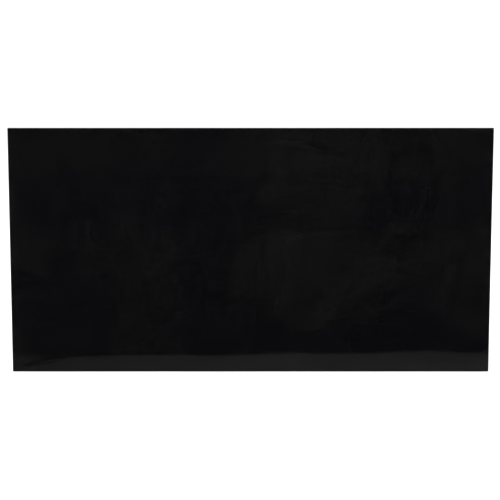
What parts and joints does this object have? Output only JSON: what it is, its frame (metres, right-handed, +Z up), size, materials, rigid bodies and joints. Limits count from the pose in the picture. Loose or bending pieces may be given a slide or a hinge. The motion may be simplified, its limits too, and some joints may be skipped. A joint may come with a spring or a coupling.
{
  "type": "kick plate",
  "caption": "Flat undrilled gloss-black plastic kick plate for a door, with a clear peel-off film on its face and foam tape strips with release liners on its back.",
  "frame": {"origin": "middle of the door side: the centre of the middle upright strip's outer face, which is the outer face of its release liner", "axes": "+X along the plate's width, to the right as one looks at its face; +Y into the door, so the face that is seen looks along -Y; +Z up"},
  "size_m": [0.889, 0.0046, 0.4572],
  "materials": {
    "plate_black": "black acrylic sheet: polished face and bevels, satin back",
    "film_clear": "clear soft masking film, glossy, with faint ripples",
    "foam_grey": "dark grey acrylic foam tape, matte cut edges, tacky faces",
    "liner_red": "red plastic release liner, semi-gloss"
  },
  "bodies": {
    "plate": {"plate": "plate_black", "tape_top": "foam_grey", "tape_bottom": "foam_grey", "tape_upright_1": "foam_grey", "tape_upright_2": "foam_grey", "tape_upright_3": "foam_grey", "tape_upright_4": "foam_grey", "tape_upright_5": "foam_grey"},
    "film": {"face_film": "film_clear"},
    "liner_top": {"liner_top": "liner_red"},
    "liner_bottom": {"liner_bottom": "liner_red"},
    "liner_upright_1": {"liner_upright_1": "liner_red"},
    "liner_upright_2": {"liner_upright_2": "liner_red"},
    "liner_upright_3": {"liner_upright_3": "liner_red"},
    "liner_upright_4": {"liner_upright_4": "liner_red"},
    "liner_upright_5": {"liner_upright_5": "liner_red"}
  },
  "joints": [
    {"name": "film_peel", "type": "slide", "parent": "plate", "child": "film", "axis": [0, -1, 0], "range_m": [0, 0.06]},
    {"name": "liner_top_peel", "type": "slide", "parent": "plate", "child": "liner_top", "axis": [0, 1, 0], "range_m": [0, 0.06]},
    {"name": "liner_bottom_peel", "type": "slide", "parent": "plate", "child": "liner_bottom", "axis": [0, 1, 0], "range_m": [0, 0.06]},
    {"name": "liner_upright_1_peel", "type": "slide", "parent": "plate", "child": "liner_upright_1", "axis": [0, 1, 0], "range_m": [0, 0.06]},
    {"name": "liner_upright_2_peel", "type": "slide", "parent": "plate", "child": "liner_upright_2", "axis": [0, 1, 0], "range_m": [0, 0.06]},
    {"name": "liner_upright_3_peel", "type": "slide", "parent": "plate", "child": "liner_upright_3", "axis": [0, 1, 0], "range_m": [0, 0.06]},
    {"name": "liner_upright_4_peel", "type": "slide", "parent": "plate", "child": "liner_upright_4", "axis": [0, 1, 0], "range_m": [0, 0.06]},
    {"name": "liner_upright_5_peel", "type": "slide", "parent": "plate", "child": "liner_upright_5", "axis": [0, 1, 0], "range_m": [0, 0.06]}
  ]
}
